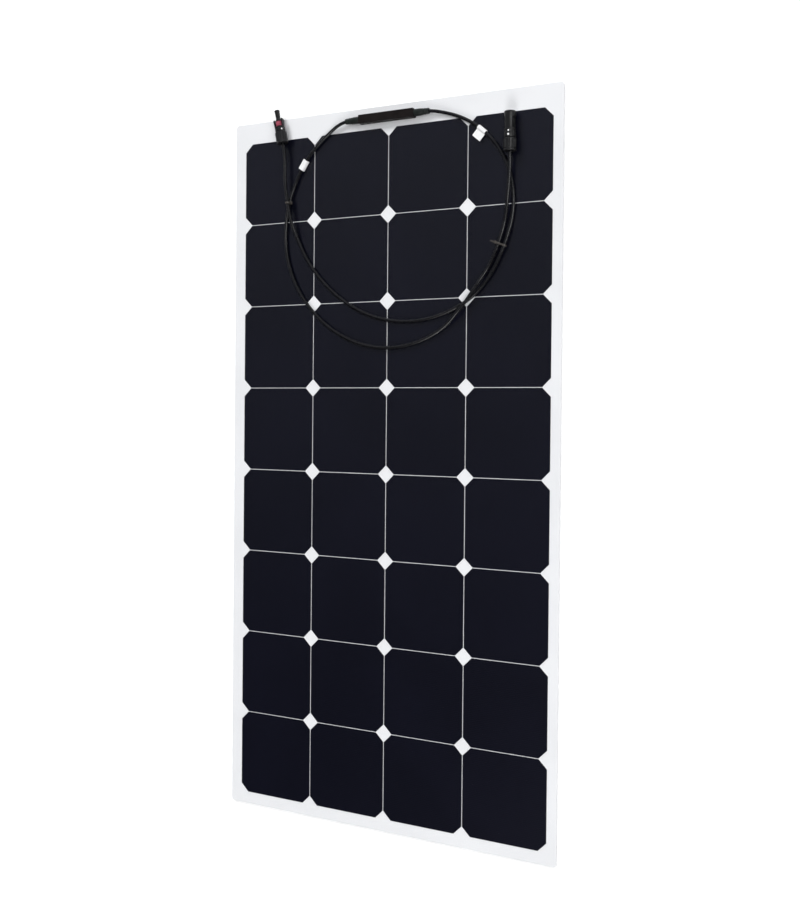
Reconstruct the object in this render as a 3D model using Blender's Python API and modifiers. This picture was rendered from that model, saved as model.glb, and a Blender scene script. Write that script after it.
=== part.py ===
"""Flexible solar sheet: a bendable 32-cell laminate with a slim junction box,
two looped leads and a pair of locking plug connectors.

Frame: the sheet lies flat with its cells up.  Origin at the centre of the
sheet's underside, +X across the width, +Y towards the junction-box end, +Z up.
All lengths are in metres.
"""
import math

import bmesh
import bpy
import numpy as np
from mathutils import Matrix, Vector

MM = 0.001

# ---- driving dimensions -------------------------------------------------
SHEET_W = 540 * MM            # X
SHEET_L = 1065 * MM           # Y
SHEET_CORNER_R = 4 * MM

BACK_T = 1.50 * MM            # glass-fibre reinforced backsheet
EVA_T = 1.00 * MM             # white encapsulant, cells sit in its pockets
FILM_T = 0.20 * MM            # clear front film
LAYER_GAP = 0.05 * MM         # bond line left between two layers

CELL = 126 * MM               # pseudo-square cell, edge to edge
CELL_CHAMFER = 12.4 * MM
CELL_T = 0.20 * MM
CELL_PITCH = 127 * MM
ROWS, COLUMNS = 8, 4
FIELD_X, FIELD_Y = 2 * MM, -7 * MM     # centre of the cell field
POCKET_CLEAR = 0.2 * MM

RIBBON_W, RIBBON_T = 5 * MM, 0.20 * MM

BOX_X, BOX_Y = 1.5 * MM, 515 * MM      # junction box centre
BOX_L, BOX_W, BOX_H = 91 * MM, 12.4 * MM, 11.0 * MM
BOX_WALL, BOX_FLOOR, LID_T = 1.3 * MM, 1.2 * MM, 1.4 * MM
RISER_X = 30 * MM                      # ribbon terminals, each side of the centre
RELIEF_L = 23 * MM

LEAD_R = 2.5 * MM
LEAD_AXIS_H = 5.5 * MM                 # lead height over the film, at the box
REST_GAP = 0.3 * MM

NUT_R, NUT_L = 9.0 * MM, 17.5 * MM
PLUG_HALF_H = NUT_R + REST_GAP         # connector axis over the film
SOCKET_X, SOCKET_Y = 196 * MM, 444 * MM        # rear face of the right nut
PLUG_X, PLUG_Y = -177.2 * MM, 493.6 * MM       # rear face of the left nut
PLUG_TILT = math.radians(12.2)                 # left connector leans to -X
SOCKET_L, PLUG_L = 54.6 * MM, 52.5 * MM

Z_BACK = BACK_T
Z_EVA0 = Z_BACK + LAYER_GAP
Z_EVA1 = Z_EVA0 + EVA_T
Z_FILM0 = Z_EVA1 + LAYER_GAP
Z_TOP = Z_FILM0 + FILM_T               # 2.80 mm
Z_CELL0 = Z_EVA1 - LAYER_GAP - CELL_T
Z_RIBBON0 = Z_EVA0 + LAYER_GAP

ROUND = 20                             # steps of a turned piece

# Routes of the two leads in plan (X, Y in mm).  Lead "left" leaves the box's
# left end and ends in the right-hand connector; lead "right" leaves its right
# end and ends in the left-hand connector.
ROUTE_LEFT = [
    (-42, 515), (-54, 515), (-66, 514.9), (-85, 509), (-104, 497), (-136, 466),
    (-158.5, 427), (-171.5, 384.5), (-174, 340), (-164, 296.5), (-142.5, 257),
    (-112.5, 224.5), (-75.5, 199), (-34, 183), (10.5, 178.5), (54.5, 186),
    (94.5, 205.5), (127, 236), (153.5, 271.8), (175, 311), (188.2, 353.8),
    (194.5, 398), (196, 430), (196, 448), (196, 465.5)]
ROUTE_RIGHT = [
    (45, 515), (57, 515), (69, 514.9), (88, 511.6), (109.5, 505), (148.5, 482.5),
    (178.5, 449.5), (196, 408), (199, 363), (188.3, 320), (168, 279.5),
    (137, 246.5), (97, 226), (53.5, 216.5), (8.5, 218), (-35, 230.5),
    (-74.5, 252.5), (-108.5, 281.5), (-136.5, 316.5), (-156, 357.5),
    (-167, 401), (-172.5, 443)]
LEAD_STEP = 14 * MM                    # spacing of the tube's own points
TIE_STACK_Y, TIE_PAIR_Y = 404 * MM, 320 * MM

TIE_BAND_T, TIE_BAND_W = 1.0 * MM, 2.6 * MM
LABEL_L, LABEL_T = 16 * MM, 0.5 * MM


# ---- scene and materials ------------------------------------------------
for old in list(bpy.data.objects):
    bpy.data.objects.remove(old, do_unlink=True)

MODEL = bpy.data.collections.new("flexible_solar_sheet")
CUTTERS = bpy.data.collections.new("cutters")
bpy.context.scene.collection.children.link(MODEL)
bpy.context.scene.collection.children.link(CUTTERS)


def material(name, colour, roughness, metallic=0.0):
    mat = bpy.data.materials.new(name)
    mat.use_nodes = True
    mat.diffuse_color = (*colour, 1)
    shader = mat.node_tree.nodes["Principled BSDF"]
    shader.inputs["Base Color"].default_value = (*colour, 1)
    shader.inputs["Roughness"].default_value = roughness
    shader.inputs["Metallic"].default_value = metallic
    return mat


MAT = {
    "cell": material("cell_silicon", (0.012, 0.013, 0.020), 0.35),
    "film": material("front_film_clear", (0.85, 0.87, 0.88), 0.25),
    "eva": material("encapsulant_white", (0.86, 0.87, 0.88), 0.45),
    "back": material("backsheet_white", (0.80, 0.81, 0.82), 0.55),
    "ribbon": material("tinned_ribbon", (0.72, 0.72, 0.70), 0.30, 1.0),
    "box": material("box_black_brown", (0.028, 0.023, 0.020), 0.55),
    "lid": material("lid_black_brown", (0.035, 0.028, 0.024), 0.55),
    "diode": material("diode_black", (0.010, 0.010, 0.010), 0.35),
    "relief": material("relief_rubber", (0.014, 0.019, 0.016), 0.60),
    "lead": material("lead_jacket", (0.012, 0.012, 0.015), 0.38),
    "plug": material("plug_plastic", (0.016, 0.016, 0.017), 0.42),
    "nut": material("nut_plastic", (0.018, 0.018, 0.020), 0.45),
    "latch": material("latch_plastic", (0.015, 0.015, 0.017), 0.40),
    "contact": material("contact_tinned", (0.78, 0.77, 0.74), 0.22, 1.0),
    "seal": material("seal_red", (0.34, 0.035, 0.060), 0.45),
    "tie": material("tie_nylon", (0.050, 0.047, 0.044), 0.45),
    "label": material("label_white", (0.82, 0.82, 0.82), 0.50),
}


# ---- helpers ------------------------------------------------------------
def place(name, data, mat, matrix=Matrix(), collection=None):
    obj = bpy.data.objects.new(name, data)
    (collection or MODEL).objects.link(obj)
    if mat is not None and not data.materials:
        data.materials.append(mat)
    obj.matrix_world = matrix
    return obj


def cutter(name, data, matrix=Matrix()):
    obj = place(name, data, None, matrix, CUTTERS)
    obj.hide_render = True
    obj.display_type = "WIRE"
    return obj


def add_box(bm, centre, size, chamfer=0.0, segments=1):
    """A cube scaled to size, its four upright edges chamfered or rounded."""
    made = bmesh.ops.create_cube(
        bm, size=1, matrix=Matrix.Translation(centre) @ Matrix.Diagonal((*size, 1)))
    if chamfer:
        verts = set(made["verts"])
        upright = [e for e in bm.edges
                   if set(e.verts) <= verts
                   and abs(e.verts[0].co.z - e.verts[1].co.z) > size[2] * 0.5]
        bmesh.ops.bevel(bm, geom=upright, offset=chamfer, offset_type="OFFSET",
                        segments=segments, profile=0.5, affect="EDGES",
                        clamp_overlap=False)


def mesh_of(name, bm):
    bmesh.ops.recalc_face_normals(bm, faces=bm.faces)
    mesh = bpy.data.meshes.new(name)
    bm.to_mesh(mesh)
    bm.free()
    return mesh


def boxes(name, items):
    """One mesh of several separate boxes: (centre, size) or (centre, size, chamfer)."""
    bm = bmesh.new()
    for item in items:
        add_box(bm, *item)
    return mesh_of(name, bm)


def boolean(obj, other, operation="DIFFERENCE"):
    mod = obj.modifiers.new(operation.lower(), "BOOLEAN")
    mod.operation = operation
    mod.solver = "EXACT"
    mod.object = other
    return mod


def bevel(obj, width, segments=1, angle=40):
    mod = obj.modifiers.new("edges", "BEVEL")
    mod.width = width
    mod.segments = segments
    mod.limit_method = "ANGLE"
    mod.angle_limit = math.radians(angle)
    mod.use_clamp_overlap = True
    return mod


def turned(name, profile, mat, matrix=Matrix(), closed=False, steps=ROUND,
           collection=None):
    """A profile of (radius, height) in mm spun about Z, outer side running down."""
    mesh = bpy.data.meshes.new(name)
    points = [(r * MM, 0.0, h * MM) for r, h in profile]
    edges = [(i, i + 1) for i in range(len(points) - 1)]
    if closed:
        edges.append((len(points) - 1, 0))
    mesh.from_pydata(points, edges, [])
    obj = place(name, mesh, mat, matrix, collection)
    spin = obj.modifiers.new("spin", "SCREW")
    spin.axis = "Z"
    spin.angle = math.tau
    spin.screw_offset = 0.0
    spin.steps = spin.render_steps = steps
    spin.use_merge_vertices = True
    spin.merge_threshold = 0.00001
    spin.use_smooth_shade = True
    return obj


def outline(name, loops, depth, mat, matrix=Matrix()):
    """A flat outline (outer loop first, then holes) thickened along local Z."""
    data = bpy.data.curves.new(name, "CURVE")
    data.dimensions = "2D"
    data.fill_mode = "BOTH"
    data.extrude = depth / 2
    for loop in loops:
        spline = data.splines.new("POLY")
        spline.points.add(len(loop) - 1)
        for point, (x, y) in zip(spline.points, loop):
            point.co = (x, y, 0, 1)
        spline.use_cyclic_u = True
    return place(name, data, mat, matrix)


def along(origin, direction, up=(0, 0, 1)):
    """A frame whose Z runs along direction and whose Y keeps close to up."""
    z = Vector(direction).normalized()
    x = Vector(up).cross(z).normalized()
    y = z.cross(x)
    return Matrix(((x.x, y.x, z.x, origin[0]), (x.y, y.y, z.y, origin[1]),
                   (x.z, y.z, z.z, origin[2]), (0, 0, 0, 1)))


# ---- smooth routes ------------------------------------------------------
def natural_spline(points, count):
    """A cubic through the points, by chord length; count samples of it."""
    p = np.array(points, float)
    t = np.concatenate([[0], np.cumsum(np.linalg.norm(np.diff(p, axis=0), axis=1))])
    n, h = len(p), np.diff(t)
    a, b = np.eye(n), np.zeros_like(p)
    for i in range(1, n - 1):
        a[i, i - 1:i + 2] = h[i - 1], 2 * (h[i - 1] + h[i]), h[i]
        b[i] = 6 * ((p[i + 1] - p[i]) / h[i] - (p[i] - p[i - 1]) / h[i - 1])
    m = np.linalg.solve(a, b)
    u = np.linspace(0, t[-1], count)
    k = np.clip(np.searchsorted(t, u, side="right") - 1, 0, n - 2)
    hk, left, right = h[k], u - t[k], t[k + 1] - u
    return ((m[k].T * right ** 3 + m[k + 1].T * left ** 3) / (6 * hk)
            + (p[k].T / hk - m[k].T * hk / 6) * right
            + (p[k + 1].T / hk - m[k + 1].T * hk / 6) * left).T


def plan(route):
    line = natural_spline(route, 2400) * MM
    run = np.concatenate([[0], np.cumsum(np.linalg.norm(np.diff(line, axis=0), axis=1))])
    return line, run


def ease(x):
    x = np.clip(x, 0, 1)
    return x * x * x * (x * (6 * x - 15) + 10)


def hump(run, middle, half, flat=0.0):
    """A long low rise of height 1 about middle, level over +-flat."""
    return 1 - ease((np.abs(run - middle) - flat) / (half - flat))


def nearest(line, run, point):
    return run[np.argmin(np.linalg.norm(line - np.array(point), axis=1))]


def crossings(a, run_a, b, run_b):
    """Runs along both lines where they cross in plan."""
    found = []
    step = 6
    for i in range(0, len(a) - step, step):
        d = a[i + step] - a[i]
        e = b[step::step] - b[:-step:step]
        f = b[:-step:step] - a[i]
        den = d[0] * e[:, 1] - d[1] * e[:, 0]
        den = np.where(np.abs(den) < 1e-15, 1e-15, den)
        s = (f[:, 0] * e[:, 1] - f[:, 1] * e[:, 0]) / den
        u = (f[:, 0] * d[1] - f[:, 1] * d[0]) / den
        for j in np.nonzero((s >= 0) & (s < 1) & (u >= 0) & (u < 1))[0]:
            found.append((run_a[i] + s[j] * (run_a[i + step] - run_a[i]),
                          run_b[j * step] + u[j] * (run_b[(j + 1) * step] - run_b[j * step])))
    return found


def at_run(line, run, where):
    return np.array([np.interp(where, run, line[:, 0]), np.interp(where, run, line[:, 1])])


PLUG_DIR = (-math.sin(PLUG_TILT), math.cos(PLUG_TILT), 0)
PLUG_MM = (PLUG_X / MM, PLUG_Y / MM)
PLUG_END = [tuple(PLUG_MM[k] + s * PLUG_DIR[k] for k in (0, 1)) for s in (-15, 0, 10, 21.5)]

LEFT, LEFT_RUN = plan(ROUTE_LEFT)
RIGHT, RIGHT_RUN = plan(ROUTE_RIGHT + PLUG_END)
REST = LEAD_R + REST_GAP
STACK = 2 * LEAD_R + 0.35 * MM
TIE_LIFT = TIE_BAND_T + 0.3 * MM
LABEL_LIFT = LABEL_T + 0.35 * MM

# The leads cross three times; the run of each crossing along both leads.
CROSS = sorted(crossings(LEFT, LEFT_RUN, RIGHT, RIGHT_RUN))
STACK_L, STACK_R = CROSS[0]            # upper left: lead right passes over
LOOP_L, LOOP_R = CROSS[1]              # lower right: lead left passes over
TOP_L, TOP_R = CROSS[2]                # upper right: lead left passes over
LEFT_END, RIGHT_END = LEFT_RUN[-1], RIGHT_RUN[-1]
PAIR_L = nearest(LEFT, LEFT_RUN, (177 * MM, TIE_PAIR_Y))
PAIR_R = nearest(RIGHT, RIGHT_RUN, at_run(LEFT, LEFT_RUN, PAIR_L))
LABEL_LEFT_RUN = nearest(LEFT, LEFT_RUN, (-138.5 * MM, 456 * MM))
LABEL_RIGHT_RUN = nearest(RIGHT, RIGHT_RUN, (152 * MM, 479 * MM))
BOX_RUN = (BOX_L / 2 + RELIEF_L) - 43.5 * MM   # relief's outer end along a lead


def height_left(run):
    z = REST + (LEAD_AXIS_H - REST) * (1 - ease((run - BOX_RUN) / (45 * MM)))
    z = z + LABEL_LIFT * hump(run, LABEL_LEFT_RUN, 40 * MM, 9 * MM)
    z = z + TIE_LIFT * hump(run, STACK_L, 45 * MM, 4 * MM)
    z = z + TIE_LIFT * hump(run, PAIR_L, 40 * MM, 4 * MM)
    z = z + STACK * hump(run, LOOP_L, 62 * MM, 14 * MM)
    top = STACK + REST + 0.1 * MM
    up = ease((run - (TOP_L - 75 * MM)) / (58 * MM))
    z = z + (top - z) * up
    return z + (PLUG_HALF_H - top) * ease((run - (TOP_L + 12 * MM)) / (LEFT_END - 24 * MM - TOP_L - 12 * MM))


def height_right(run):
    z = REST + (LEAD_AXIS_H - REST) * (1 - ease((run - BOX_RUN) / (45 * MM)))
    z = z + LABEL_LIFT * hump(run, LABEL_RIGHT_RUN, 40 * MM, 9 * MM)
    z = z + TIE_LIFT * hump(run, PAIR_R, 40 * MM, 4 * MM)
    top = REST + TIE_LIFT + STACK
    up = ease((run - (STACK_R - 80 * MM)) / (66 * MM))
    z = z + (top - z) * up
    return z + (PLUG_HALF_H - top) * ease((run - (STACK_R + 10 * MM)) / (60 * MM))


LEFT_Z = Z_TOP + height_left(LEFT_RUN)
RIGHT_Z = Z_TOP + height_right(RIGHT_RUN)


def lead_points(line, run, z, first, last):
    """The tube's points: closer together over the stiff stretch at each end."""
    close = 48 * MM
    middle = int(round((last - first - 2 * close) / LEAD_STEP))
    at = np.concatenate([np.linspace(first, first + close, 7)[:-1],
                         np.linspace(first + close, last - close, middle + 1),
                         np.linspace(last - close, last, 7)[1:]])
    return [(np.interp(s, run, line[:, 0]), np.interp(s, run, line[:, 1]),
             np.interp(s, run, z)) for s in at]


def lead_frame(line, run, z, where):
    """Centre of a lead and its direction, at a run along it."""
    def spot(s):
        return Vector((np.interp(s, run, line[:, 0]), np.interp(s, run, line[:, 1]),
                       np.interp(s, run, z)))
    return spot(where), (spot(where + 2 * MM) - spot(where - 2 * MM)).normalized()


def tube(name, points, radius, mat, resolution=3):
    data = bpy.data.curves.new(name, "CURVE")
    data.dimensions = "3D"
    data.bevel_depth = radius
    data.bevel_resolution = resolution
    data.use_fill_caps = True
    spline = data.splines.new("POLY")
    spline.points.add(len(points) - 1)
    for point, co in zip(spline.points, points):
        point.co = (*co, 1)
    return place(name, data, mat)


# ---- laminate -----------------------------------------------------------
def plate(name, z0, z1, mat):
    bm = bmesh.new()
    add_box(bm, (0, 0, (z0 + z1) / 2), (SHEET_W, SHEET_L, z1 - z0), SHEET_CORNER_R, 3)
    return place(name, mesh_of(name, bm), mat)


def cell_centre(row, column):
    return (FIELD_X + (column - (COLUMNS + 1) / 2) * CELL_PITCH,
            FIELD_Y + ((ROWS + 1) / 2 - row) * CELL_PITCH)


plate("backsheet", 0, Z_BACK, MAT["back"])

cell_mesh = boxes("cell", [((0, 0, CELL_T / 2), (CELL, CELL, CELL_T), CELL_CHAMFER)])
cell_mesh.materials.append(MAT["cell"])
for row in range(1, ROWS + 1):
    for column in range(1, COLUMNS + 1):
        x, y = cell_centre(row, column)
        place(f"cell_r{row}_c{column}", cell_mesh, MAT["cell"],
              Matrix.Translation((x, y, Z_CELL0)))

# Bus ribbons, in grooves under the encapsulant and behind the end rows.
X_LEFT = FIELD_X - 1.5 * CELL_PITCH
X_MID_L, X_MID_R = FIELD_X - 0.5 * CELL_PITCH, FIELD_X + 0.5 * CELL_PITCH
X_RIGHT = FIELD_X + 1.5 * CELL_PITCH
TOP_EDGE = FIELD_Y + ROWS / 2 * CELL_PITCH - (CELL_PITCH - CELL) / 2
BOTTOM_EDGE = FIELD_Y - ROWS / 2 * CELL_PITCH + (CELL_PITCH - CELL) / 2
RISER_L, RISER_R = BOX_X - RISER_X, BOX_X + RISER_X


def strip(x0, x1, y0, y1, z0, z1):
    return (((x0 + x1) / 2, (y0 + y1) / 2, (z0 + z1) / 2), (x1 - x0, y1 - y0, z1 - z0))


def run_strip(x0, x1, y, clear=0.0):
    """A ribbon along X centred on y, or with clear, its groove."""
    w = RIBBON_W / 2 + clear
    z1 = Z_RIBBON0 + RIBBON_T
    return strip(x0 - clear, x1 + clear, y - w, y + w,
                 Z_RIBBON0 if not clear else Z_EVA0 - 0.5 * MM, z1 + (0.1 * MM if clear else 0))


Y_TERMINAL = TOP_EDGE - 8 * MM
RUNS = {
    "bus_ribbon_top_left": (X_LEFT - 45 * MM, RISER_L + RIBBON_W / 2, Y_TERMINAL),
    "bus_ribbon_top_right": (RISER_R - RIBBON_W / 2, X_RIGHT + 45 * MM, Y_TERMINAL),
    "bus_ribbon_top_middle": (X_MID_L - 40 * MM, X_MID_R + 40 * MM, TOP_EDGE - 22 * MM),
    "bus_ribbon_bottom_left": (X_LEFT - 40 * MM, X_MID_L + 40 * MM, BOTTOM_EDGE + 10 * MM),
    "bus_ribbon_bottom_right": (X_MID_R - 40 * MM, X_RIGHT + 40 * MM, BOTTOM_EDGE + 10 * MM),
}
groove_items = []
for name, (x0, x1, y) in RUNS.items():
    groove_items.append(run_strip(x0, x1, y, 0.3 * MM))
    if name in ("bus_ribbon_top_left", "bus_ribbon_top_right"):
        riser = RISER_L if name.endswith("left") else RISER_R
        bm = bmesh.new()
        add_box(bm, *run_strip(x0, x1, y))
        ribbon = place(name, mesh_of(name, bm), MAT["ribbon"])
        z1 = Z_RIBBON0 + RIBBON_T
        leg = cutter(name + "_leg", boxes(name + "_leg", [strip(
            riser - RIBBON_W / 2, riser + RIBBON_W / 2, y - RIBBON_W / 4,
            BOX_Y + RIBBON_W / 2, Z_RIBBON0, z1)]))
        post = cutter(name + "_post", boxes(name + "_post", [strip(
            riser - 0.15 * MM, riser + 0.15 * MM, BOX_Y - RIBBON_W / 2,
            BOX_Y + RIBBON_W / 2, Z_RIBBON0 + 0.1 * MM, Z_TOP + LEAD_AXIS_H + 1.2 * MM)]))
        boolean(ribbon, leg, "UNION")
        boolean(ribbon, post, "UNION")
    else:
        place(name, boxes(name, [run_strip(x0, x1, y)]), MAT["ribbon"])

leg_items, slot_items = [], []
for riser in (RISER_L, RISER_R):
    leg_items.append(strip(riser - RIBBON_W / 2 - 0.3 * MM, riser + RIBBON_W / 2 + 0.3 * MM,
                           Y_TERMINAL, BOX_Y + RIBBON_W / 2 + 0.3 * MM,
                           Z_EVA0 - 0.5 * MM, Z_RIBBON0 + RIBBON_T + 0.1 * MM))
    slot_items.append(strip(riser - 0.6 * MM, riser + 0.6 * MM, BOX_Y - RIBBON_W / 2 - 0.6 * MM,
                            BOX_Y + RIBBON_W / 2 + 0.6 * MM, Z_EVA0 - 0.7 * MM, Z_TOP + 3 * MM))

eva = plate("encapsulant", Z_EVA0, Z_EVA1, MAT["eva"])
pocket = CELL + 2 * POCKET_CLEAR
pockets = cutter("cell_pockets", boxes("cell_pockets", [
    ((*cell_centre(row, column), Z_CELL0 - LAYER_GAP + 0.5 * MM),
     (pocket, pocket, 1 * MM), CELL_CHAMFER)
    for row in range(1, ROWS + 1) for column in range(1, COLUMNS + 1)]))
grooves = cutter("ribbon_grooves", boxes("ribbon_grooves", groove_items))
legs = cutter("ribbon_legs", boxes("ribbon_legs", leg_items))
slots = cutter("riser_slots", boxes("riser_slots", slot_items))
for tool in (pockets, grooves, legs, slots):
    boolean(eva, tool)

film = plate("front_film", Z_FILM0, Z_TOP, MAT["film"])
boolean(film, slots)

# ---- junction box -------------------------------------------------------
Z_BOX0 = Z_TOP + LAYER_GAP
Z_RIM = Z_TOP + BOX_H - LID_T
base_h = Z_RIM - Z_BOX0
base = place("junction_box_base", boxes("junction_box_base", [
    ((0, 0, base_h / 2), (BOX_L, BOX_W, base_h), 1.2 * MM, 2)]), MAT["box"],
    Matrix.Translation((BOX_X, BOX_Y, Z_BOX0)))
inner = cutter("box_hollow", boxes("box_hollow", [
    ((BOX_X, BOX_Y, Z_BOX0 + BOX_FLOOR + 10 * MM),
     (BOX_L - 2 * BOX_WALL, BOX_W - 2 * BOX_WALL, 20 * MM))]))
boolean(base, inner)
holes = turned("box_lead_holes", [(0, 60), (2.9, 60), (2.9, -60), (0, -60)], None,
               along((BOX_X, BOX_Y, Z_TOP + LEAD_AXIS_H), (1, 0, 0)), steps=16,
               collection=CUTTERS)
holes.hide_render = True
holes.display_type = "WIRE"
boolean(base, holes)
boolean(base, slots)

lid = place("junction_box_lid", boxes("junction_box_lid", [
    ((0, 0, LID_T / 2), (BOX_L, BOX_W, LID_T - 0.1 * MM), 1.2 * MM, 2)]), MAT["lid"],
    Matrix.Translation((BOX_X, BOX_Y, Z_RIM + 0.05 * MM)))
rim = cutter("lid_rim", boxes("lid_rim", [
    ((BOX_X, BOX_Y, Z_RIM - 0.3 * MM), (78 * MM, BOX_W - 2 * BOX_WALL - 0.6 * MM, 2.2 * MM))]))
boolean(lid, rim, "UNION")

turned("bypass_diode", [(0, 28.8), (0.6, 28.8), (0.6, 4.9), (2.4, 4.8), (2.65, 4.5),
                        (2.65, -4.5), (2.4, -4.8), (0.6, -4.9), (0.6, -28.8), (0, -28.8)],
       MAT["diode"], along((BOX_X, BOX_Y, Z_TOP + LEAD_AXIS_H - 0.6 * MM), (1, 0, 0)), steps=12)

# Strain reliefs: turned rubber tapers with grooves, bore for the lead.
relief_outer = [(3.9, 23), (4.15, 22.2), (4.3, 19.5), (3.9, 19.1), (3.9, 18.1), (4.5, 17.7),
                (4.6, 15.2), (4.1, 14.8), (4.1, 13.8), (4.8, 13.4), (4.9, 10.4), (5.15, 9.6),
                (5.15, 0.6), (4.8, 0.0)]
relief_bore = [(2.85, 0.0), (2.85, 16.0), (3.1, 23.0)]
for side, name in ((-1, "strain_relief_left"), (1, "strain_relief_right")):
    turned(name, relief_outer + relief_bore, MAT["relief"],
           along((BOX_X + side * (BOX_L / 2 + 0.2 * MM), BOX_Y, Z_TOP + LEAD_AXIS_H), (side, 0, 0)),
           closed=True, steps=16)

# ---- leads --------------------------------------------------------------
tube("lead_left", lead_points(LEFT, LEFT_RUN, LEFT_Z, 0.5 * MM, LEFT_END), LEAD_R, MAT["lead"])
tube("lead_right", lead_points(RIGHT, RIGHT_RUN, RIGHT_Z, 0.5 * MM, RIGHT_END), LEAD_R, MAT["lead"])

# ---- connectors ---------------------------------------------------------
# Local Z runs forward from the nut's rear face, local Y is up.
SOCKET = along((SOCKET_X, SOCKET_Y, Z_TOP + PLUG_HALF_H), (0, 1, 0))
PLUG = along((PLUG_X, PLUG_Y, Z_TOP + PLUG_HALF_H), PLUG_DIR)

nut_profile = [(8.4, 17.5), (8.9, 16.9), (8.9, 4.0), (8.3, 3.6), (8.3, 2.6), (9.0, 2.2),
               (9.0, 0.6), (8.4, 0.0), (3.1, 0.0), (3.0, 7.5), (6.6, 7.6), (6.6, 17.5)]
turned("gland_nut_right", nut_profile, MAT["nut"], SOCKET, closed=True)
turned("gland_nut_left", nut_profile, MAT["nut"], PLUG, closed=True)

spigot = [(6.3, 18.2), (6.3, 8.2), (2.8, 8.2), (2.8, 21.8), (0, 21.8)]

# Right-hand connector: a shell with two side windows round a recessed pin.
socket = turned("connector_shell_right",
                [(0, 26.0), (4.4, 26.0), (4.4, 54.0), (4.9, 54.6), (7.7, 54.6), (8.25, 54.0),
                 (8.25, 19.0), (7.9, 18.2)] + spigot, MAT["plug"], SOCKET, steps=24)
windows = boxes("shell_windows", [
    ((side * 8.6 * MM, 0, 38.5 * MM), (6 * MM, 17 * MM, 15.5 * MM)) for side in (-1, 1)])
channels = boxes("shell_channels", [
    ((side * 6.4 * MM, 0, 51 * MM), (2.0 * MM, 6.5 * MM, 15 * MM)) for side in (-1, 1)])
boolean(socket, cutter("shell_window_cuts", windows, SOCKET))
boolean(socket, cutter("shell_channel_cuts", channels, SOCKET))
turned("contact_pin", [(0, 46.0), (0.9, 45.7), (1.6, 44.6), (2.0, 42.8), (2.0, 26.3), (0, 26.3)],
       MAT["contact"], SOCKET, steps=16)

# Left-hand connector: a slim probe with a ribbed seal between two latch fingers.
turned("connector_body_left",
       [(0, 38.0), (2.6, 38.0), (2.6, 52.1), (2.9, 52.5), (3.7, 52.5), (4.0, 52.0), (3.4, 42.0),
        (3.6, 38.6), (4.3, 37.6), (4.3, 35.2), (3.6, 35.0), (3.6, 27.1), (4.9, 26.9), (4.9, 25.8),
        (7.6, 25.6), (7.9, 25.2), (7.9, 19.0), (7.5, 18.2)] + spigot, MAT["plug"], PLUG, steps=24)
turned("contact_socket", [(2.1, 50.5), (2.3, 50.2), (2.3, 38.3), (1.4, 38.3), (1.4, 50.5)],
       MAT["contact"], PLUG, closed=True, steps=16)

turned("seal_ring",
       [(3.75, 34.7), (4.5, 34.7), (5.0, 34.2), (5.0, 33.0), (4.6, 32.6), (4.6, 32.1),
        (5.0, 31.7), (5.0, 30.3), (4.6, 29.9), (4.6, 29.4), (5.0, 29.0), (5.0, 27.8),
        (4.5, 27.3), (3.75, 27.3)], MAT["seal"], PLUG, closed=True)

# Latch fingers: each turns about its root, an upright axis beside the body.
FINGER_ROOT, FINGER_IN, FINGER_T = 26.2, 6.0, 1.4
for side, name in ((1, "latch_finger_left"), (-1, "latch_finger_right")):
    # Seen from above, local X of the connector frame points to -side.
    x0 = FINGER_IN * side
    x1 = (FINGER_IN + FINGER_T) * side
    loop = [(x0, 0), (x1, 0), (x1, 7.9), ((FINGER_IN + FINGER_T + 0.7) * side, 8.4),
            ((FINGER_IN + FINGER_T + 0.5) * side, 10.4), (x1 - 0.4 * side, 12.3), (x0, 12.3)]
    pivot = Vector(((FINGER_IN + FINGER_T / 2) * side * MM, 0, FINGER_ROOT * MM))
    loop = [(x * MM - pivot.x, y * MM) for x, y in loop]
    if side < 0:
        loop.reverse()
    frame = PLUG @ Matrix.Translation(pivot) @ Matrix.Rotation(math.radians(90), 4, "X")
    outline(name, [loop], 6.0 * MM, MAT["latch"], frame)


# ---- ties and labels ----------------------------------------------------
def capsule(half_x, half_y, radius, count=6):
    """A rounded box outline: circles of radius at (+-half_x, +-half_y)."""
    points = []
    for cx, cy, start in ((half_x, half_y, 0), (-half_x, half_y, 90),
                          (-half_x, -half_y, 180), (half_x, -half_y, 270)):
        for k in range(count + 1):
            a = math.radians(start + 90 * k / count)
            q = (cx + radius * math.cos(a), cy + radius * math.sin(a))
            if not points or math.hypot(q[0] - points[-1][0], q[1] - points[-1][1]) > 1e-6:
                points.append(q)
    if math.hypot(points[0][0] - points[-1][0], points[0][1] - points[-1][1]) < 1e-6:
        points.pop()
    return points


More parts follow.
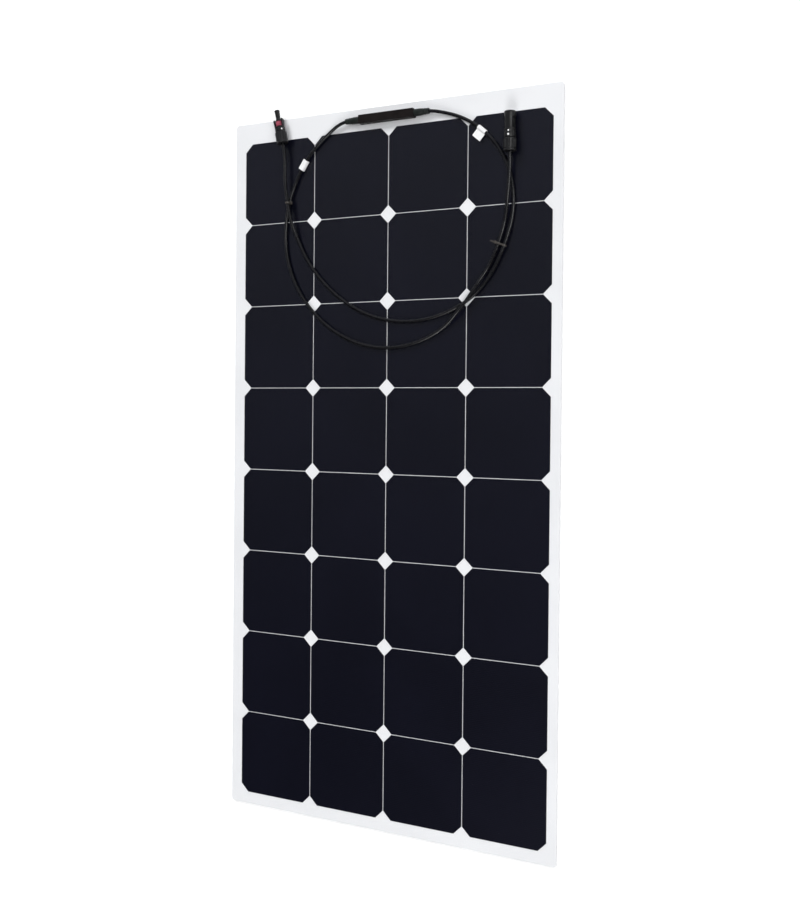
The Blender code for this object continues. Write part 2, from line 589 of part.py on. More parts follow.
def cable_tie(name, centre, direction, half_x, half_y, tail_out):
    """A band round the leads, its lock head to one side and its clipped tail
    standing up beside the head, or with tail_out reaching away from it."""
    inner_r = LEAD_R + 0.3 * MM
    outer_r = inner_r + TIE_BAND_T
    band = capsule(half_x, half_y, outer_r)
    hole = capsule(half_x, half_y, inner_r)
    obj = outline(name + "_band", [band, hole], TIE_BAND_W, MAT["tie"])
    evaluated = obj.evaluated_get(bpy.context.evaluated_depsgraph_get())
    mesh = bpy.data.meshes.new_from_object(evaluated)
    bpy.data.objects.remove(obj, do_unlink=True)
    bm = bmesh.new()
    bm.from_mesh(mesh)
    bmesh.ops.remove_doubles(bm, verts=bm.verts, dist=1e-6)
    mesh = mesh_of(name, bm)
    mesh.materials.clear()
    frame = along(centre, direction)
    tie = place(name, mesh, MAT["tie"], frame)
    side = half_x + outer_r
    head = cutter(name + "_head", boxes(name + "_head", [
        ((side + 0.9 * MM, 0.4 * MM, 0), (3.4 * MM, 3.6 * MM, 4.4 * MM)),
    ]), frame)
    at, size = (((side + 1.9 * MM, 3.4 * MM, 0), (1.0 * MM, 4.4 * MM, 2.4 * MM)) if not tail_out
                else ((side + 5.4 * MM, 0.9 * MM, 0), (7.0 * MM, 1.0 * MM, 2.4 * MM)))
    tail = cutter(name + "_tail", boxes(name + "_tail", [(at, size)]), frame)
    boolean(tie, head, "UNION")
    boolean(tie, tail, "UNION")
    return tie


# Stacked pair at the upper left crossing: the lead from the left connector on top.
low, low_dir = lead_frame(LEFT, LEFT_RUN, LEFT_Z, STACK_L)
high, high_dir = lead_frame(RIGHT, RIGHT_RUN, RIGHT_Z, STACK_R)
mean = Vector((low_dir - (-high_dir))) if low_dir.dot(high_dir) > 0 else Vector(low_dir - high_dir)
mean.z = 0
if mean.y > 0:
    mean = -mean
cable_tie("cable_tie_upper", ((low + high) / 2)[:], mean, 0.15 * MM, (high.z - low.z) / 2, False)

# Side by side pair on the right.
one, one_dir = lead_frame(LEFT, LEFT_RUN, LEFT_Z, PAIR_L)
two, two_dir = lead_frame(RIGHT, RIGHT_RUN, RIGHT_Z, PAIR_R)
mean = one_dir - two_dir
mean.z = 0
if mean.y < 0:
    mean = -mean
cable_tie("cable_tie_lower", ((one + two) / 2)[:], mean,
          (one - two).length / 2, 0.0, True)

# Markers on the leads: a flattened sleeve and a folded flag.
centre, direction = lead_frame(LEFT, LEFT_RUN, LEFT_Z, LABEL_LEFT_RUN)
direction.z = 0
outline("lead_marker_left", [
    capsule(2.0 * MM, 0, LEAD_R + 0.35 * MM + LABEL_T),
    capsule(1.2 * MM, 0, LEAD_R + 0.35 * MM)], LABEL_L, MAT["label"],
    along(centre, direction))

centre, direction = lead_frame(RIGHT, RIGHT_RUN, RIGHT_Z, LABEL_RIGHT_RUN)
direction.z = 0
sleeve = LEAD_R + 0.35 * MM
wrap = capsule(0, 0, sleeve + LABEL_T, 8)
flag_end = 14.5 * MM
half = 0.35 * MM
wrap = [q for q in wrap if not (q[0] > 0 and abs(q[1]) < half * 1.5)]
start = min((i for i in range(len(wrap)) if wrap[i][0] > 0 and wrap[i][1] > 0),
            key=lambda i: wrap[i][1])
wrap = wrap[start:] + wrap[:start]
root = math.sqrt((sleeve + LABEL_T) ** 2 - half ** 2)
flag = [(root, -half), (flag_end, -half), (flag_end, half), (root, half)]
outline("lead_marker_right", [wrap + flag, capsule(0, 0, sleeve, 8)], LABEL_L - 1 * MM,
        MAT["label"], along(centre, -direction))
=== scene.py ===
"""Looks for the flexible solar sheet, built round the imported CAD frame."""
import math

import bmesh
import bpy
import numpy as np
from mathutils import Matrix, Vector


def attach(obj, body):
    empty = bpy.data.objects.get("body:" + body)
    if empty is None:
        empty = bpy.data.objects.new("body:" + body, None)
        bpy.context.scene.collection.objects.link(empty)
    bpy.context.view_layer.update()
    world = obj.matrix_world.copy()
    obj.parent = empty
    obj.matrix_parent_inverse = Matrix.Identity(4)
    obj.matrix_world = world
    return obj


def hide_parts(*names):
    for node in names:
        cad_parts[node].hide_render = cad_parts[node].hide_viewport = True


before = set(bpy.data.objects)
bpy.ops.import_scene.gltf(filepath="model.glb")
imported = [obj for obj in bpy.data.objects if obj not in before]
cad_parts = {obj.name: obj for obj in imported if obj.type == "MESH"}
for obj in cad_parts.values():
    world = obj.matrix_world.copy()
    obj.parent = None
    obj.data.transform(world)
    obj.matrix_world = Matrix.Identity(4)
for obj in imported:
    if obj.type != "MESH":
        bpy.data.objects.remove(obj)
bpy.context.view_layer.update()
MM = 0.001
SCENE = bpy.context.scene
SCENE.view_settings.view_transform = "Standard"
SCENE.view_settings.look = "None"

# ---- camera -------------------------------------------------------------
FOCAL_PX, CENTRE_Y_PX = 1095.0, 423.0
cam_data = bpy.data.cameras.new("camera")
cam_data.lens = FOCAL_PX / 918 * 36
cam_data.sensor_width = 36
cam_data.shift_y = (CENTRE_Y_PX - 459) / 918
cam_data.clip_start, cam_data.clip_end = 0.05, 50
camera = bpy.data.objects.new("camera", cam_data)
SCENE.collection.objects.link(camera)
camera.matrix_world = Matrix((
    (0.88567, -0.01288, 0.46413, 0.76463),
    (0.00895, 0.99990, 0.01068, 0.08567),
    (-0.46423, -0.00531, 0.88570, 1.41446),
    (0, 0, 0, 1)))
SCENE.camera = camera

# ---- dimensions, in mm ---------------------------------------------------
Z_TOP = 2.8
LEAD_R, LEAD_AXIS_H, REST_GAP = 2.5, 5.5, 0.3
BOX = (1.5, 515.0)
BOX_L, BOX_W, BOX_H, LID_T, RELIEF_L = 91.0, 12.4, 11.0, 1.4, 23.0
NUT_R = 9.0
PLUG_H = NUT_R + REST_GAP
SOCKET_AT = (196.0, 444.0)
PLUG_AT = (-177.2, 493.6)
PLUG_TILT = math.radians(12.2)
PLUG_DIR = (-math.sin(PLUG_TILT), math.cos(PLUG_TILT), 0)
CELL, PITCH, FIELD = 126.0, 127.0, (2.0, -7.0)
TIE_BAND_T, LABEL_L, LABEL_T = 1.0, 16.0, 0.5

ROUTE_LEFT = [
    (-42, 515), (-54, 515), (-66, 514.9), (-85, 509), (-104, 497), (-136, 466),
    (-158.5, 427), (-171.5, 384.5), (-174, 340), (-164, 296.5), (-142.5, 257),
    (-112.5, 224.5), (-75.5, 199), (-34, 183), (10.5, 178.5), (54.5, 186),
    (94.5, 205.5), (127, 236), (153.5, 271.8), (175, 311), (188.2, 353.8),
    (194.5, 398), (196, 430), (196, 448), (196, 465.5)]
ROUTE_RIGHT = [
    (45, 515), (57, 515), (69, 514.9), (88, 511.6), (109.5, 505), (148.5, 482.5),
    (178.5, 449.5), (196, 408), (199, 363), (188.3, 320), (168, 279.5),
    (137, 246.5), (97, 226), (53.5, 216.5), (8.5, 218), (-35, 230.5),
    (-74.5, 252.5), (-108.5, 281.5), (-136.5, 316.5), (-156, 357.5),
    (-167, 401), (-172.5, 443)] + [
    (PLUG_AT[0] + s * PLUG_DIR[0], PLUG_AT[1] + s * PLUG_DIR[1]) for s in (-15, 0, 10, 21.5)]
PAIR_Y = 320.0


# ---- the leads' smooth routes ---------------------------------------------
def natural_spline(points, count):
    """A cubic through the points, by chord length; count samples of it."""
    p = np.array(points, float)
    t = np.concatenate([[0], np.cumsum(np.linalg.norm(np.diff(p, axis=0), axis=1))])
    n, h = len(p), np.diff(t)
    a, b = np.eye(n), np.zeros_like(p)
    for i in range(1, n - 1):
        a[i, i - 1:i + 2] = h[i - 1], 2 * (h[i - 1] + h[i]), h[i]
        b[i] = 6 * ((p[i + 1] - p[i]) / h[i] - (p[i] - p[i - 1]) / h[i - 1])
    m = np.linalg.solve(a, b)
    u = np.linspace(0, t[-1], count)
    k = np.clip(np.searchsorted(t, u, side="right") - 1, 0, n - 2)
    hk, left, right = h[k], u - t[k], t[k + 1] - u
    return ((m[k].T * right ** 3 + m[k + 1].T * left ** 3) / (6 * hk)
            + (p[k].T / hk - m[k].T * hk / 6) * right
            + (p[k + 1].T / hk - m[k + 1].T * hk / 6) * left).T


def plan(route):
    line = natural_spline(route, 2400)
    return line, np.concatenate([[0], np.cumsum(np.linalg.norm(np.diff(line, axis=0), axis=1))])


def ease(x):
    x = np.clip(x, 0, 1)
    return x * x * x * (x * (6 * x - 15) + 10)


def hump(run, middle, half, flat=0.0):
    return 1 - ease((np.abs(run - middle) - flat) / (half - flat))


def nearest(line, run, point):
    return run[np.argmin(np.linalg.norm(line - np.array(point), axis=1))]


def crossings(a, run_a, b, run_b):
    found, step = [], 6
    for i in range(0, len(a) - step, step):
        d = a[i + step] - a[i]
        e = b[step::step] - b[:-step:step]
        f = b[:-step:step] - a[i]
        den = d[0] * e[:, 1] - d[1] * e[:, 0]
        den = np.where(np.abs(den) < 1e-9, 1e-9, den)
        s = (f[:, 0] * e[:, 1] - f[:, 1] * e[:, 0]) / den
        u = (f[:, 0] * d[1] - f[:, 1] * d[0]) / den
        for j in np.nonzero((s >= 0) & (s < 1) & (u >= 0) & (u < 1))[0]:
            found.append((run_a[i] + s[j] * (run_a[i + step] - run_a[i]),
                          run_b[j * step] + u[j] * (run_b[(j + 1) * step] - run_b[j * step])))
    return sorted(found)


LEFT, LEFT_RUN = plan(ROUTE_LEFT)
RIGHT, RIGHT_RUN = plan(ROUTE_RIGHT)
REST = LEAD_R + REST_GAP
STACK = 2 * LEAD_R + 0.35
TIE_LIFT = TIE_BAND_T + 0.3
LABEL_LIFT = LABEL_T + 0.35
(STACK_L, STACK_R), (LOOP_L, LOOP_R), (TOP_L, TOP_R) = crossings(LEFT, LEFT_RUN, RIGHT, RIGHT_RUN)
LEFT_END, RIGHT_END = LEFT_RUN[-1], RIGHT_RUN[-1]
PAIR_L = nearest(LEFT, LEFT_RUN, (177, PAIR_Y))
PAIR_R = nearest(RIGHT, RIGHT_RUN, [np.interp(PAIR_L, LEFT_RUN, LEFT[:, k]) for k in (0, 1)])
LABEL_LEFT_RUN = nearest(LEFT, LEFT_RUN, (-138.5, 456))
LABEL_RIGHT_RUN = nearest(RIGHT, RIGHT_RUN, (152, 479))
BOX_RUN = (BOX_L / 2 + RELIEF_L) - 43.5


def height_left(run):
    z = REST + (LEAD_AXIS_H - REST) * (1 - ease((run - BOX_RUN) / 45))
    z = z + LABEL_LIFT * hump(run, LABEL_LEFT_RUN, 40, 9)
    z = z + TIE_LIFT * hump(run, STACK_L, 45, 4)
    z = z + TIE_LIFT * hump(run, PAIR_L, 40, 4)
    z = z + STACK * hump(run, LOOP_L, 62, 14)
    top = STACK + REST + 0.1
    z = z + (top - z) * ease((run - (TOP_L - 75)) / 58)
    return z + (PLUG_H - top) * ease((run - (TOP_L + 12)) / (LEFT_END - 24 - TOP_L - 12))


def height_right(run):
    z = REST + (LEAD_AXIS_H - REST) * (1 - ease((run - BOX_RUN) / 45))
    z = z + LABEL_LIFT * hump(run, LABEL_RIGHT_RUN, 40, 9)
    z = z + TIE_LIFT * hump(run, PAIR_R, 40, 4)
    top = REST + TIE_LIFT + STACK
    z = z + (top - z) * ease((run - (STACK_R - 80)) / 66)
    return z + (PLUG_H - top) * ease((run - (STACK_R + 10)) / 60)


LEFT_Z = Z_TOP + height_left(LEFT_RUN)
RIGHT_Z = Z_TOP + height_right(RIGHT_RUN)


def lead_spot(line, run, z, s):
    return Vector((np.interp(s, run, line[:, 0]), np.interp(s, run, line[:, 1]), np.interp(s, run, z)))


def lead_frame(line, run, z, where):
    a, b = lead_spot(line, run, z, where - 2), lead_spot(line, run, z, where + 2)
    return lead_spot(line, run, z, where), (b - a).normalized()


# ---- material kit ---------------------------------------------------------
class Mat:
    """A Principled material with its nodes built by small calls."""

    def __init__(self, name, colour, rough, metallic=0.0, specular=0.5, coat=0.0, coat_rough=0.2):
        self.mat = bpy.data.materials.new(name)
        self.mat.use_nodes = True
        self.tree = self.mat.node_tree
        self.shader = self.tree.nodes["Principled BSDF"]
        put = self.shader.inputs
        put["Base Color"].default_value = (*colour, 1)
        put["Roughness"].default_value = rough
        put["Metallic"].default_value = metallic
        put["Specular IOR Level"].default_value = specular
        put["Coat Weight"].default_value = coat
        put["Coat Roughness"].default_value = coat_rough
        self.coords = self.node("ShaderNodeTexCoord").outputs["Object"]
        self.normal = None

    def node(self, kind, **values):
        made = self.tree.nodes.new(kind)
        for key, value in values.items():
            if hasattr(made, key):
                setattr(made, key, value)
            else:
                made.inputs[key.replace("_", " ")].default_value = value
        return made

    def link(self, a, b):
        self.tree.links.new(a, b)

    def noise(self, scale, detail=3.0, rough=0.5, stretch=None, distortion=0.0):
        source = self.coords
        if stretch:
            mapping = self.node("ShaderNodeMapping")
            mapping.inputs["Scale"].default_value = stretch
            self.link(source, mapping.inputs["Vector"])
            source = mapping.outputs["Vector"]
        made = self.node("ShaderNodeTexNoise", Scale=scale, Detail=detail, Roughness=rough,
                         Distortion=distortion)
        self.link(source, made.inputs["Vector"])
        return made.outputs["Fac"]

    def math(self, kind, a, b=None, clamp=False):
        made = self.node("ShaderNodeMath", operation=kind)
        made.use_clamp = clamp
        for socket, value in zip(made.inputs, (a, b)):
            if value is None:
                continue
            if isinstance(value, (int, float)):
                socket.default_value = value
            else:
                self.link(value, socket)
        return made.outputs[0]

    def remap(self, value, low, high, to_low, to_high, smooth=False):
        made = self.node("ShaderNodeMapRange")
        made.interpolation_type = "SMOOTHSTEP" if smooth else "LINEAR"
        for key, number in (("From Min", low), ("From Max", high), ("To Min", to_low), ("To Max", to_high)):
            made.inputs[key].default_value = number
        self.link(value, made.inputs["Value"])
        return made.outputs["Result"]

    def mix(self, factor, a, b):
        made = self.node("ShaderNodeMix")
        made.data_type = "RGBA"
        for socket, value in ((made.inputs[6], a), (made.inputs[7], b)):
            if isinstance(value, tuple):
                socket.default_value = (*value, 1)
            else:
                self.link(value, socket)
        if isinstance(factor, (int, float)):
            made.inputs[0].default_value = factor
        else:
            self.link(factor, made.inputs[0])
        return made.outputs[2]

    def colour(self, socket):
        self.link(socket, self.shader.inputs["Base Color"])
        return self

    def roughness(self, socket):
        self.link(socket, self.shader.inputs["Roughness"])
        return self

    def bump(self, height, distance, strength=1.0):
        made = self.node("ShaderNodeBump", Strength=strength, Distance=distance)
        self.link(height, made.inputs["Height"])
        if self.normal is not None:
            self.link(self.normal, made.inputs["Normal"])
        self.normal = made.outputs["Normal"]
        self.link(self.normal, self.shader.inputs["Normal"])
        return self


def plastic(name, dark, light, rough, grain=2600, grain_depth=0.00004, blotch=60, specular=0.4):
    """Moulded plastic: blotchy colour, spark-eroded grain, faint handling marks."""
    m = Mat(name, dark, rough, specular=specular)
    m.colour(m.mix(m.remap(m.noise(blotch, 4), 0.35, 0.65, 0, 1), dark, light))
    m.roughness(m.remap(m.noise(blotch * 3, 3), 0.3, 0.7, rough - 0.06, rough + 0.08))
    m.bump(m.noise(grain, 2, 0.6), grain_depth, 0.6)
    return m.mat


def cell_material():
    m = Mat("cell_silicon_fine_lines", (0.003, 0.003, 0.008), 0.32, specular=0.13)
    split = m.node("ShaderNodeSeparateXYZ")
    m.link(m.coords, split.inputs[0])
    x, y = split.outputs[0], split.outputs[1]
    # Very fine contact lines across each cell, and their ends at its side edges.
    fine = m.math("SINE", m.math("MULTIPLY", y, 2 * math.pi / 0.0026))
    line = m.remap(fine, 0.2, 1.0, 0, 1, True)
    local = m.math("SUBTRACT", m.math("FLOORED_MODULO",
                   m.math("SUBTRACT", x, (FIELD[0] - 2 * PITCH) * MM), PITCH * MM), PITCH * MM / 2)
    edge = m.remap(m.math("ABSOLUTE", local), 0.0619, 0.0625, 0, 1, True)
    ends = m.math("MULTIPLY", edge, m.remap(fine, 0.3, 0.9, 0, 1, True))
    cloud = m.remap(m.noise(5.5, 3, 0.5), 0.35, 0.65, 0, 1, True)
    base = m.mix(cloud, (0.0016, 0.0018, 0.0056), (0.0026, 0.0028, 0.0078))
    base = m.mix(m.math("MULTIPLY", line, 0.8), base, (0.0062, 0.0066, 0.0145))
    base = m.mix(m.math("MULTIPLY", ends, 0.5), base, (0.15, 0.15, 0.16))
    m.colour(base)
    m.roughness(m.remap(m.noise(900, 2), 0.3, 0.7, 0.30, 0.42))
    m.bump(line, 0.00002, 0.3)
    return m.mat


def film_material():
    """Clear film: only its gloss shows over what is under it."""
    m = Mat("front_film_clear_satin", (0.9, 0.9, 0.9), 0.2)
    m.tree.nodes.remove(m.shader)
    out = m.tree.nodes["Material Output"]
    clear = m.node("ShaderNodeBsdfTransparent")
    clear.inputs["Color"].default_value = (1, 1, 1, 1)
    gloss = m.node("ShaderNodeBsdfGlossy")
    gloss.inputs["Roughness"].default_value = 0.24
    gloss.inputs["Color"].default_value = (1, 1, 1, 1)
    bump = m.node("ShaderNodeBump", Strength=0.25, Distance=0.00008)
    m.link(m.noise(420, 3, 0.6), bump.inputs["Height"])
    m.link(bump.outputs["Normal"], gloss.inputs["Normal"])
    facing = m.node("ShaderNodeLayerWeight")
    facing.inputs["Blend"].default_value = 0.5
    fresnel = m.math("ADD", m.math("MULTIPLY", m.math("POWER", facing.outputs["Facing"], 5), 0.48), 0.014)
    blend = m.node("ShaderNodeMixShader")
    m.link(fresnel, blend.inputs[0])
    m.link(clear.outputs[0], blend.inputs[1])
    m.link(gloss.outputs[0], blend.inputs[2])
    m.link(blend.outputs[0], out.inputs["Surface"])
    return m.mat


def laminate_material(name, bright, dim, rough, weave=False):
    m = Mat(name, bright, rough, specular=0.3)
    m.colour(m.mix(m.remap(m.noise(9, 4), 0.35, 0.65, 0, 1, True), dim, bright))
    m.roughness(m.remap(m.noise(220, 3), 0.3, 0.7, rough - 0.05, rough + 0.07))
    if weave:
        split = m.node("ShaderNodeSeparateXYZ")
        m.link(m.coords, split.inputs[0])
        warp = m.math("SINE", m.math("MULTIPLY", split.outputs[0], 2 * math.pi / 0.0021))
        weft = m.math("SINE", m.math("MULTIPLY", split.outputs[1], 2 * math.pi / 0.0021))
        m.bump(m.math("MULTIPLY", warp, weft), 0.00006, 0.4)
    m.bump(m.noise(1500, 2, 0.6), 0.00003, 0.35)
    return m.mat


def metal(name, colour, rough, scale=900, stretch=(1, 1, 1)):
    m = Mat(name, colour, rough, metallic=1.0)
    dark = tuple(c * 0.8 for c in colour)
    m.colour(m.mix(m.remap(m.noise(scale / 4, 3, stretch=stretch), 0.3, 0.7, 0, 1), dark, colour))
    m.roughness(m.remap(m.noise(scale, 2, stretch=stretch), 0.3, 0.7, rough - 0.06, rough + 0.1))
    m.bump(m.noise(scale * 2, 2, stretch=stretch), 0.00001, 0.3)
    return m.mat


def jacket_material():
    m = Mat("lead_jacket_extruded", (0.004, 0.004, 0.005), 0.28, specular=0.42)
    m.colour(m.mix(m.remap(m.noise(70, 4), 0.35, 0.65, 0, 1), (0.0030, 0.0030, 0.0042), (0.0055, 0.0055, 0.0072)))
    m.roughness(m.remap(m.noise(500, 3), 0.3, 0.7, 0.22, 0.36))
    m.bump(m.noise(900, 3, 0.55), 0.00005, 0.35)
    return m.mat


def rubber(name, dark, light, rough):
    m = Mat(name, dark, rough, specular=0.35)
    m.colour(m.mix(m.remap(m.noise(180, 4), 0.35, 0.65, 0, 1), dark, light))
    m.roughness(m.remap(m.noise(700, 3), 0.3, 0.7, rough - 0.07, rough + 0.08))
    m.bump(m.noise(1800, 3, 0.6), 0.00005, 0.4)
    return m.mat


def paper(name, colour, dim):
    m = Mat(name, colour, 0.5, specular=0.3)
    m.colour(m.mix(m.remap(m.noise(350, 4), 0.35, 0.65, 0, 1), dim, colour))
    m.roughness(m.remap(m.noise(500, 3), 0.3, 0.7, 0.42, 0.58))
    m.bump(m.noise(2200, 3, 0.6), 0.00003, 0.4)
    return m.mat


LOOK = {
    "cell": cell_material(),
    "film": film_material(),
    "eva": laminate_material("encapsulant_white_smooth", (0.805, 0.81, 0.825), (0.775, 0.78, 0.795), 0.42),
    "back": laminate_material("backsheet_white_weave", (0.80, 0.81, 0.82), (0.77, 0.78, 0.79), 0.5, weave=True),
    "ribbon": metal("ribbon_tinned", (0.70, 0.70, 0.68), 0.34, stretch=(0.1, 1, 1)),
    "box": plastic("box_plastic_grained", (0.0045, 0.0032, 0.0031), (0.0075, 0.0056, 0.0054), 0.50, specular=0.18),
    "lid": plastic("lid_plastic_grained", (0.0060, 0.0044, 0.0043), (0.0105, 0.0080, 0.0078), 0.48, specular=0.20),
    "relief": rubber("relief_rubber_matt", (0.006, 0.0085, 0.0075), (0.011, 0.015, 0.013), 0.46),
    "jacket": jacket_material(),
    "plug": plastic("plug_plastic_satin", (0.0055, 0.0055, 0.0060), (0.0095, 0.0095, 0.0100), 0.36, grain=3200),
    "nut": plastic("nut_plastic_satin", (0.0065, 0.0065, 0.0075), (0.0110, 0.0110, 0.0120), 0.38, grain=3200),
    "latch": plastic("latch_plastic_satin", (0.0055, 0.0055, 0.0065), (0.0100, 0.0100, 0.0110), 0.36, grain=3200),
    "tin": metal("contact_tin_bright", (0.78, 0.77, 0.74), 0.24),
    "seal": rubber("seal_silicone_red", (0.30, 0.050, 0.085), (0.40, 0.085, 0.125), 0.34),
    "tie": plastic("tie_nylon_grey", (0.036, 0.032, 0.029), (0.064, 0.057, 0.051), 0.42, blotch=200),
    "label": paper("label_vinyl_white", (0.86, 0.86, 0.86), (0.80, 0.80, 0.80)),
    "diode": plastic("diode_epoxy_black", (0.010, 0.010, 0.010), (0.016, 0.016, 0.016), 0.35),
    # Plain white matt colour for the small raised spots on the connectors.
    "mark": paper("white_dot_matt", (0.88, 0.88, 0.88), (0.80, 0.80, 0.80)),
}


# ---- geometry kit ----------------------------------------------------------
def along(origin, direction, up=(0, 0, 1)):
    """A frame in metres whose Z runs along direction; origin is in mm."""
    z = Vector(direction).normalized()
    x = Vector(up).cross(z).normalized()
    y = z.cross(x)
    o = [c * MM for c in origin]
    return Matrix(((x.x, y.x, z.x, o[0]), (x.y, y.y, z.y, o[1]), (x.z, y.z, z.z, o[2]), (0, 0, 0, 1)))


def piece(name, data, look, matrix=Matrix(), body="sheet"):
    obj = bpy.data.objects.new(name, data)
    SCENE.collection.objects.link(obj)
    obj.matrix_world = matrix
    if look:
        data.materials.clear()
        data.materials.append(LOOK[look])
    if body:
        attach(obj, body)
    return obj


def to_mesh(name, bm, sharp=32):
    bmesh.ops.recalc_face_normals(bm, faces=bm.faces)
    mesh = bpy.data.meshes.new(name)
    bm.to_mesh(mesh)
    bm.free()
    shade(mesh, sharp)
    return mesh


def shade(mesh, sharp=32):
    mesh.shade_smooth()
    mesh.set_sharp_from_angle(angle=math.radians(sharp))


def soften(points, radius, closed=False, steps=3):
    """Rounds the corners of a polyline of (r, h) in mm."""
    out, n = [], len(points)
    for i, p in enumerate(points):
        if not closed and i in (0, n - 1):
            out.append(p)
            continue
        a, b, c = (Vector(points[(i + k) % n]) for k in (-1, 0, 1))
        u, v = (a - b), (c - b)
        if u.length < 1e-6 or v.length < 1e-6 or u.angle(v) > math.radians(165):
            out.append(p)
            continue
        r = min(radius, u.length * 0.45, v.length * 0.45)
        start, end = b + u.normalized() * r, b + v.normalized() * r
        for k in range(steps + 1):
            t = k / steps
            q = start * (1 - t) ** 2 + b * (2 * t * (1 - t)) + end * t ** 2
            out.append((q.x, q.y))
    return out


def lathe(profile, steps=64, closed=False, shape=None):
    """Spins (radius, height) in mm about Z. shape(r, h, angle) gives the real radius."""
    bm = bmesh.new()
    rings = []
    for r, h in profile:
        if r < 1e-6:
            rings.append([bm.verts.new((0, 0, h * MM))])
            continue
        ring = []
        for k in range(steps):
            a = math.tau * k / steps
            q = shape(r, h, a) if shape else r
            ring.append(bm.verts.new((q * math.cos(a) * MM, q * math.sin(a) * MM, h * MM)))
        rings.append(ring)
    pairs = list(zip(rings, rings[1:])) + ([(rings[-1], rings[0])] if closed else [])
    for a, b in pairs:
        if len(a) == 1 and len(b) == 1:
            continue
        for k in range(steps):
            n = (k + 1) % steps
            if len(a) == 1:
                bm.faces.new((a[0], b[k], b[n]))
            elif len(b) == 1:
                bm.faces.new((a[k], a[n], b[0]))
            else:
                bm.faces.new((a[k], a[n], b[n], b[k]))
    return bm


def add_box(bm, centre, size, matrix=Matrix()):
    return bmesh.ops.create_cube(bm, size=1, matrix=matrix @ Matrix.Translation(
        [c * MM for c in centre]) @ Matrix.Diagonal((*[s * MM for s in size], 1)))["verts"]


def rounded_slab(bm, centre, size, corner, edge=0.0, steps=4):
    """A slab with rounded upright corners and softened top and bottom edges."""
    hx, hy, hz = (s / 2 for s in size)
    levels = [(-hz, edge)] + [(-hz + edge * k, edge * (1 - k)) for k in ((0.3, 1) if edge else ())]
    levels += [(hz - edge * (1 - k), edge * k) for k in ((0, 0.7) if edge else ())] + [(hz, edge)]
    rings = []
    for z, inset in levels:
        ring = []
        for cx, cy, start in ((1, 1, 0), (-1, 1, 90), (-1, -1, 180), (1, -1, 270)):
            for k in range(steps + 1):
                a = math.radians(start + 90 * k / steps)
                r = max(corner - inset, 0.02)
                x = cx * (hx - corner) + r * math.cos(a)
                y = cy * (hy - corner) + r * math.sin(a)
                ring.append(bm.verts.new(((centre[0] + x) * MM, (centre[1] + y) * MM, (centre[2] + z) * MM)))
        rings.append(ring)
    n = len(rings[0])
    for a, b in zip(rings, rings[1:]):
        for k in range(n):
            bm.faces.new((a[k], a[(k + 1) % n], b[(k + 1) % n], b[k]))
    bm.faces.new(rings[0][::-1])
    bm.faces.new(rings[-1])


def cut(obj, tools, sharp=32, operation="DIFFERENCE", bevel=0.0):
    """Applies exact booleans, and leaves a plain mesh."""
    made = []
    for mesh, matrix in tools:
        other = bpy.data.objects.new(obj.name + "_tool", mesh)
        SCENE.collection.objects.link(other)
        other.matrix_world = matrix
        made.append(other)
        mod = obj.modifiers.new("cut", "BOOLEAN")
        mod.operation, mod.solver, mod.object = operation, "EXACT", other
    if bevel:
        mod = obj.modifiers.new("edge", "BEVEL")
        mod.width, mod.segments, mod.limit_method = bevel * MM, 2, "ANGLE"
        mod.angle_limit = math.radians(40)
    bpy.context.view_layer.update()
    mesh = bpy.data.meshes.new_from_object(obj.evaluated_get(bpy.context.evaluated_depsgraph_get()))
    look = obj.data.materials[0] if obj.data.materials else None
    obj.modifiers.clear()
    for other in made:
        bpy.data.objects.remove(other, do_unlink=True)
    mesh.materials.clear()
    mesh.materials.append(look)
    obj.data = mesh
    for polygon in mesh.polygons:
        polygon.material_index = 0
    shade(mesh, sharp)
    return obj


def box_mesh(items, bevel=0.0):
    bm = bmesh.new()
    for centre, size in items:
        add_box(bm, centre, size)
    if bevel:
        bmesh.ops.bevel(bm, geom=bm.edges[:], offset=bevel * MM, segments=2, profile=0.5, affect="EDGES")
    return to_mesh("boxes", bm)


# ---- cords: the two leads, first -------------------------------------------
def cable(name, line, run, z, last, node):
    data = bpy.data.curves.new(name, "CURVE")
    data.dimensions = "3D"
    data.bevel_depth = LEAD_R * MM
    data.bevel_resolution = 7
    data.use_fill_caps = True
    at = np.linspace(0.5, last, 300)
    spline = data.splines.new("POLY")
    spline.points.add(len(at) - 1)
    for point, s in zip(spline.points, at):
        point.co = (*(lead_spot(line, run, z, s) * MM), 1)
    obj = piece(name, data, "jacket")
    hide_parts(node)
    points = np.array([lead_spot(line, run, z, s)[:] for s in at]) * MM
    return obj, float(np.linalg.norm(np.diff(points, axis=0), axis=1).sum())


lead_left, LENGTH_LEFT = cable("lead_left_cable", LEFT, LEFT_RUN, LEFT_Z, LEFT_END, "lead_left")
lead_right, LENGTH_RIGHT = cable("lead_right_cable", RIGHT, RIGHT_RUN, RIGHT_Z, RIGHT_END, "lead_right")

SOCKET = along((*SOCKET_AT, Z_TOP + PLUG_H), (0, 1, 0))
PLUG = along((*PLUG_AT, Z_TOP + PLUG_H), PLUG_DIR)


# ---- gland nuts: ribbed grip, smooth collar, undercut --------------------------
def nut_shape(r, h, a):
    """Lengthwise grip ribs between the two collars."""
    if r < 7.5 or not 4.6 < h < 16.2:
        return r
    wave = 0.5 + 0.5 * math.cos(12 * a)
    return r - 0.75 * (1 - min(1.0, wave * 2.4))


